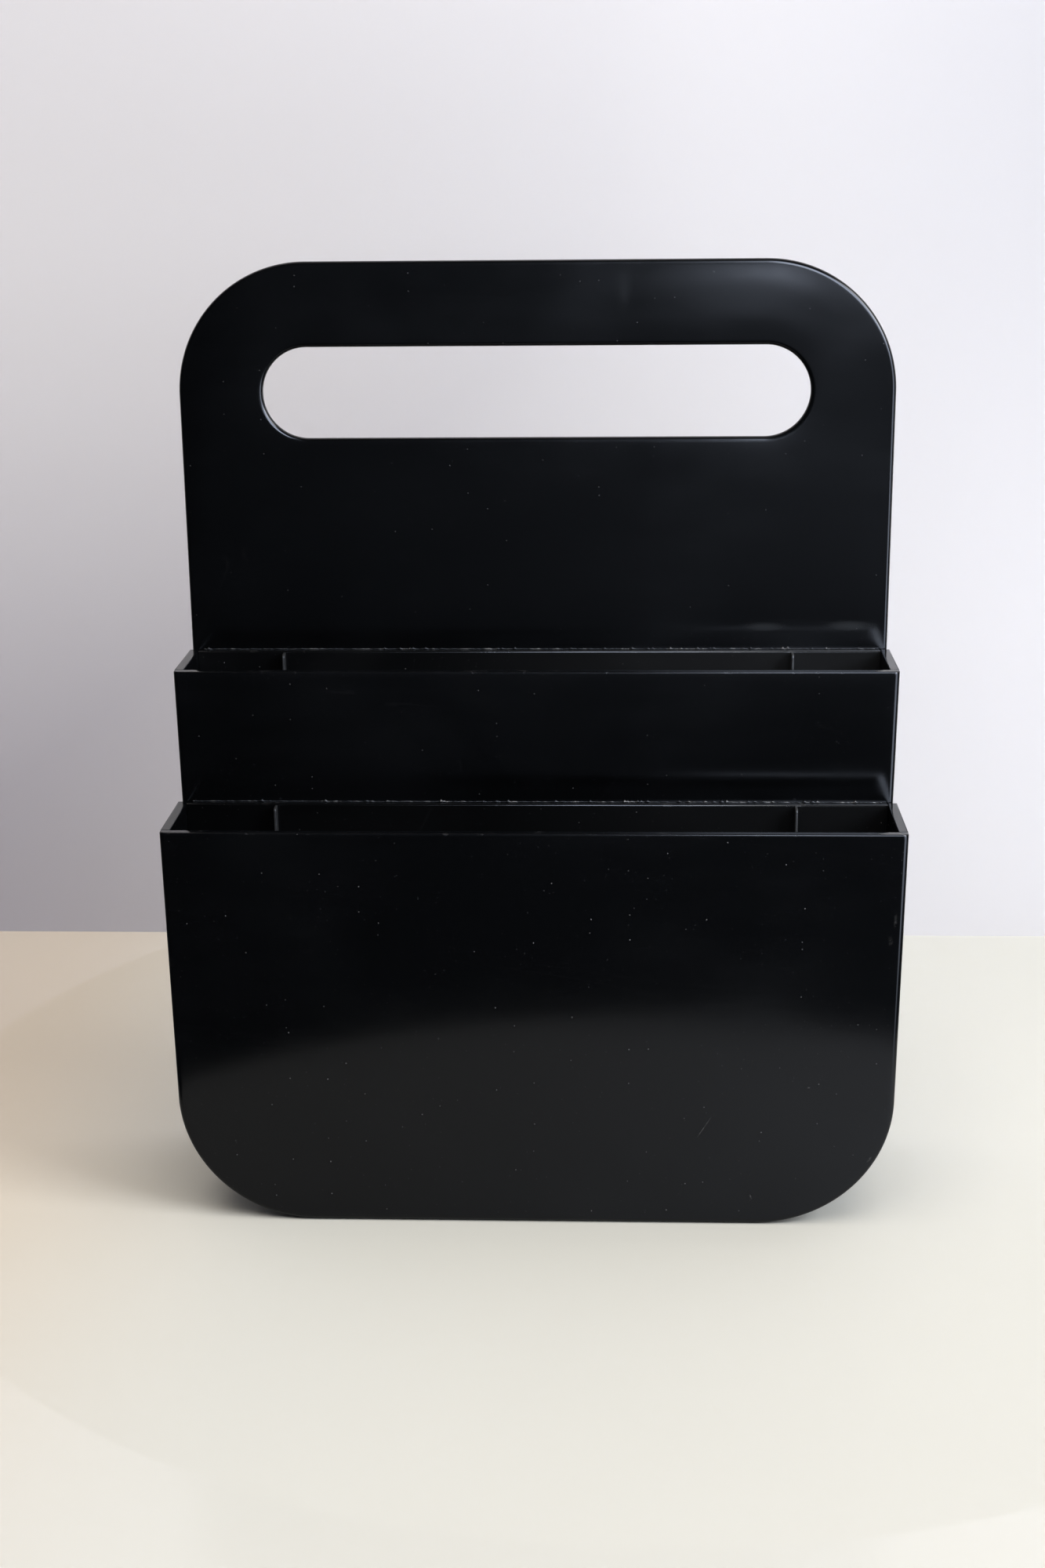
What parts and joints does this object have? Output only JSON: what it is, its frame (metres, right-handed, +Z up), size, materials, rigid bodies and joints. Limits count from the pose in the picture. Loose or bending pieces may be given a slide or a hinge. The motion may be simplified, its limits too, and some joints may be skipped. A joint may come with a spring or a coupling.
{
  "type": "desk file rack",
  "caption": "Free-standing black plastic file rack: tall rounded back panel with a hand slot and stepped, open-topped pockets in front, ribbed inside.",
  "frame": {"origin": "on the resting surface, under the centre of the rack's bounding box", "axes": "+X to the rack's right as seen from the front, +Y from the pockets towards the back panel, +Z up"},
  "size_m": [0.308, 0.09, 0.4],
  "materials": {
    "black_plastic_panel": "polished, high gloss, rounded edges",
    "black_plastic_front": "polished, high gloss, fine dust and hairline scratches",
    "black_plastic_band": "polished, high gloss, worn rim edges",
    "black_plastic_rear": "polished, with specks of dried cement along the rim",
    "black_plastic_rib": "thin sheet, satin gloss"
  },
  "bodies": {
    "root": {"back_panel": "black_plastic_panel", "mid_pocket_rear_plate": "black_plastic_rear", "mid_pocket_side_band": "black_plastic_band", "mid_pocket_front_plate": "black_plastic_front", "mid_pocket_left_rib": "black_plastic_rib", "mid_pocket_right_rib": "black_plastic_rib", "front_pocket_rear_plate": "black_plastic_rear", "front_pocket_side_band": "black_plastic_band", "front_pocket_front_plate": "black_plastic_front", "front_pocket_left_rib": "black_plastic_rib", "front_pocket_right_rib": "black_plastic_rib"}
  },
  "joints": []
}
